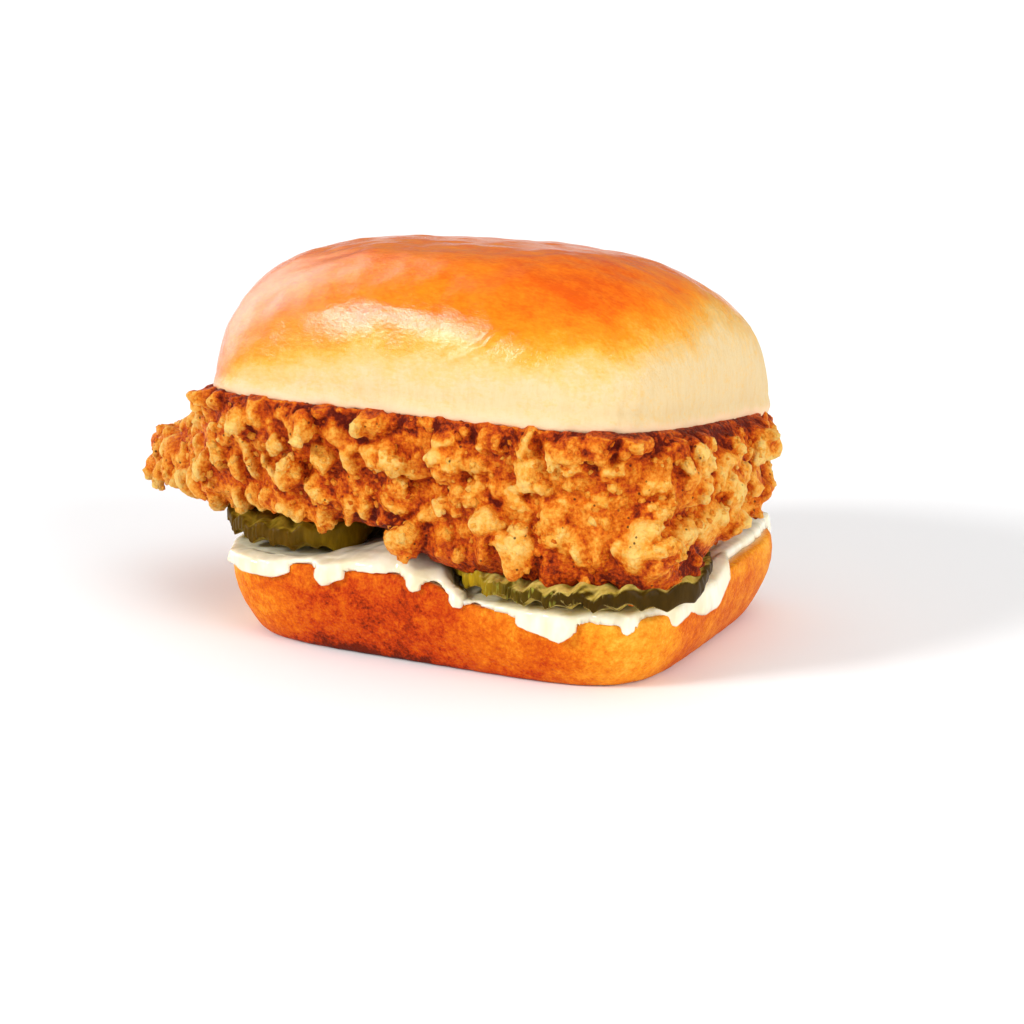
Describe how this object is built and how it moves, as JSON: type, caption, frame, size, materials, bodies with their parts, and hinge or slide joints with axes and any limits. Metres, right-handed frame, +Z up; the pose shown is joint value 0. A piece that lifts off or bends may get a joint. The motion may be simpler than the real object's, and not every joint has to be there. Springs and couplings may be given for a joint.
{
  "type": "chicken burger",
  "caption": "Oblong soft bun with a craggy breaded chicken fillet that overhangs at both ends, crinkle-cut pickle slices and mayonnaise.",
  "frame": {"origin": "middle of the bun's foot, on the surface that the burger stands on", "axes": "+Z up; +X along the bun's long side, towards the fillet's blunt end; -Y is the long side on show"},
  "size_m": [0.116, 0.0699, 0.0639],
  "materials": {
    "heel_crust": "baked bread crust, fine pores, matt",
    "mayonnaise": "wet and glossy",
    "pickle": "wet skin and flesh",
    "breading": "deep-fried breading, slightly oily",
    "crown_crust": "baked bread crust with a satin glaze, pale sides"
  },
  "bodies": {
    "root": {"bun_heel": "heel_crust", "mayonnaise": "mayonnaise", "pickle_slice_left": "pickle", "pickle_slice_right": "pickle", "chicken_fillet": "breading", "bun_crown": "crown_crust"}
  },
  "joints": []
}
